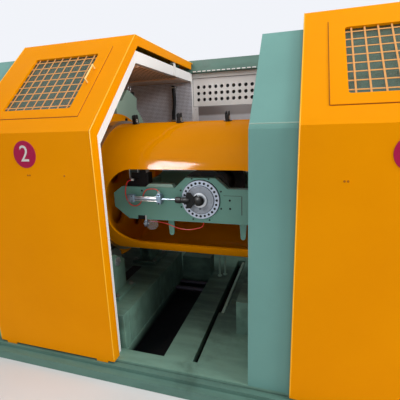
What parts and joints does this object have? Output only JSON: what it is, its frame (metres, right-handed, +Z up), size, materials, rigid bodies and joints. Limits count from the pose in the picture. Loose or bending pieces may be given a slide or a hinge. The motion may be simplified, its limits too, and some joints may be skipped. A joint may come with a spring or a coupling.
{
  "type": "tubular wire stranding machine",
  "caption": "Tubular stranding machine: slotted rotor tube with level bobbin cradles in a housing of fixed sections and sliding hoods.",
  "frame": {"origin": "on the floor under the rotor's axis, at the middle of the machine's length", "axes": "+X along the rotor's axis, to the right for someone facing the hoods; +Y to the rear wall; +Z up"},
  "size_m": [7.315, 1.97, 2.19],
  "materials": {
    "green_paint": "satin hammer green",
    "light_green_paint": "satin green",
    "white_lining": "perforated sheet, satin white",
    "white_paint": "satin",
    "orange_paint": "gloss",
    "machined_steel": "turned",
    "black_plastic": "matte",
    "black_paint": "satin",
    "cylinder_aluminium": "anodised",
    "bobbin_paint": "worn dark paint",
    "red_hose": "glossy tube"
  },
  "bodies": {
    "housing": {"base_frame": "green_paint", "front_rail": "green_paint", "rear_rail": "green_paint", "section_cover_1": "green_paint", "section_cover_2": "green_paint", "section_cover_3": "green_paint", "section_cover_4": "green_paint", "section_lining_1": "white_lining", "section_lining_2": "white_lining", "section_lining_3": "white_lining", "section_lining_4": "white_lining", "end_walls": "green_paint", "journal_bearings": "machined_steel", "rear_panels": "white_lining", "vent_panels": "white_lining", "roller_plinths": "green_paint", "roller_cheeks": "green_paint", "support_rollers": "machined_steel", "brake_brackets": "green_paint", "roof_rollers": "white_paint"},
    "rotor": {"tube_section_1": "orange_paint", "tube_section_2": "orange_paint", "tube_section_3": "orange_paint", "running_rings": "machined_steel", "cradle_carriers": "orange_paint", "rotor_flanges": "orange_paint", "rotor_drums": "orange_paint", "rotor_journals": "orange_paint", "wire_guides": "black_plastic"},
    "cradle_1": {"cradle_frame_1": "light_green_paint", "pintles_1": "machined_steel", "pintle_clamp_1": "black_paint", "air_cylinder_1": "cylinder_aluminium", "valve_block_1": "black_plastic", "clamp_hose_1": "red_hose", "lower_hose_1": "red_hose"},
    "bobbin_1": {"bobbin_1": "bobbin_paint"},
    "hood_1": {"hood_shell_1": "orange_paint", "hood_panel_1": "orange_paint"},
    "cradle_2": {"cradle_frame_2": "light_green_paint", "pintles_2": "machined_steel", "pintle_clamp_2": "black_paint", "air_cylinder_2": "cylinder_aluminium", "valve_block_2": "black_plastic", "clamp_hose_2": "red_hose", "lower_hose_2": "red_hose"},
    "bobbin_2": {"bobbin_2": "bobbin_paint"},
    "hood_2": {"hood_shell_2": "orange_paint", "hood_panel_2": "orange_paint"},
    "cradle_3": {"cradle_frame_3": "light_green_paint", "pintles_3": "machined_steel", "pintle_clamp_3": "black_paint", "air_cylinder_3": "cylinder_aluminium", "valve_block_3": "black_plastic", "clamp_hose_3": "red_hose", "lower_hose_3": "red_hose"},
    "bobbin_3": {"bobbin_3": "bobbin_paint"},
    "hood_3": {"hood_shell_3": "orange_paint", "hood_panel_3": "orange_paint"}
  },
  "joints": [
    {"name": "rotor_spin", "type": "hinge", "parent": "housing", "child": "rotor", "pos_m": [0, 0, 1.105], "axis": [1, 0, 0], "continuous": true},
    {"name": "cradle_swing_1", "type": "hinge", "parent": "rotor", "child": "cradle_1", "pos_m": [-2, 0, 1.105], "axis": [1, 0, 0], "continuous": true},
    {"name": "bobbin_spin_1", "type": "hinge", "parent": "cradle_1", "child": "bobbin_1", "pos_m": [-1.915, 0, 1.105], "axis": [0, 1, 0], "continuous": true},
    {"name": "hood_slide_1", "type": "slide", "parent": "housing", "child": "hood_1", "axis": [1, 0, 0], "range_m": [0, 0.845]},
    {"name": "cradle_swing_2", "type": "hinge", "parent": "rotor", "child": "cradle_2", "pos_m": [0, 0, 1.105], "axis": [1, 0, 0], "continuous": true},
    {"name": "bobbin_spin_2", "type": "hinge", "parent": "cradle_2", "child": "bobbin_2", "pos_m": [0.085, 0, 1.105], "axis": [0, 1, 0], "continuous": true},
    {"name": "hood_slide_2", "type": "slide", "parent": "housing", "child": "hood_2", "axis": [1, 0, 0], "range_m": [0, 0.845]},
    {"name": "cradle_swing_3", "type": "hinge", "parent": "rotor", "child": "cradle_3", "pos_m": [2, 0, 1.105], "axis": [1, 0, 0], "continuous": true},
    {"name": "bobbin_spin_3", "type": "hinge", "parent": "cradle_3", "child": "bobbin_3", "pos_m": [2.085, 0, 1.105], "axis": [0, 1, 0], "continuous": true},
    {"name": "hood_slide_3", "type": "slide", "parent": "housing", "child": "hood_3", "axis": [1, 0, 0], "range_m": [0, 0.845]}
  ],
  "couplings": [
    {"joint": "cradle_swing_1", "follows": "rotor_spin", "ratio": -1},
    {"joint": "cradle_swing_2", "follows": "rotor_spin", "ratio": -1},
    {"joint": "cradle_swing_3", "follows": "rotor_spin", "ratio": -1}
  ]
}
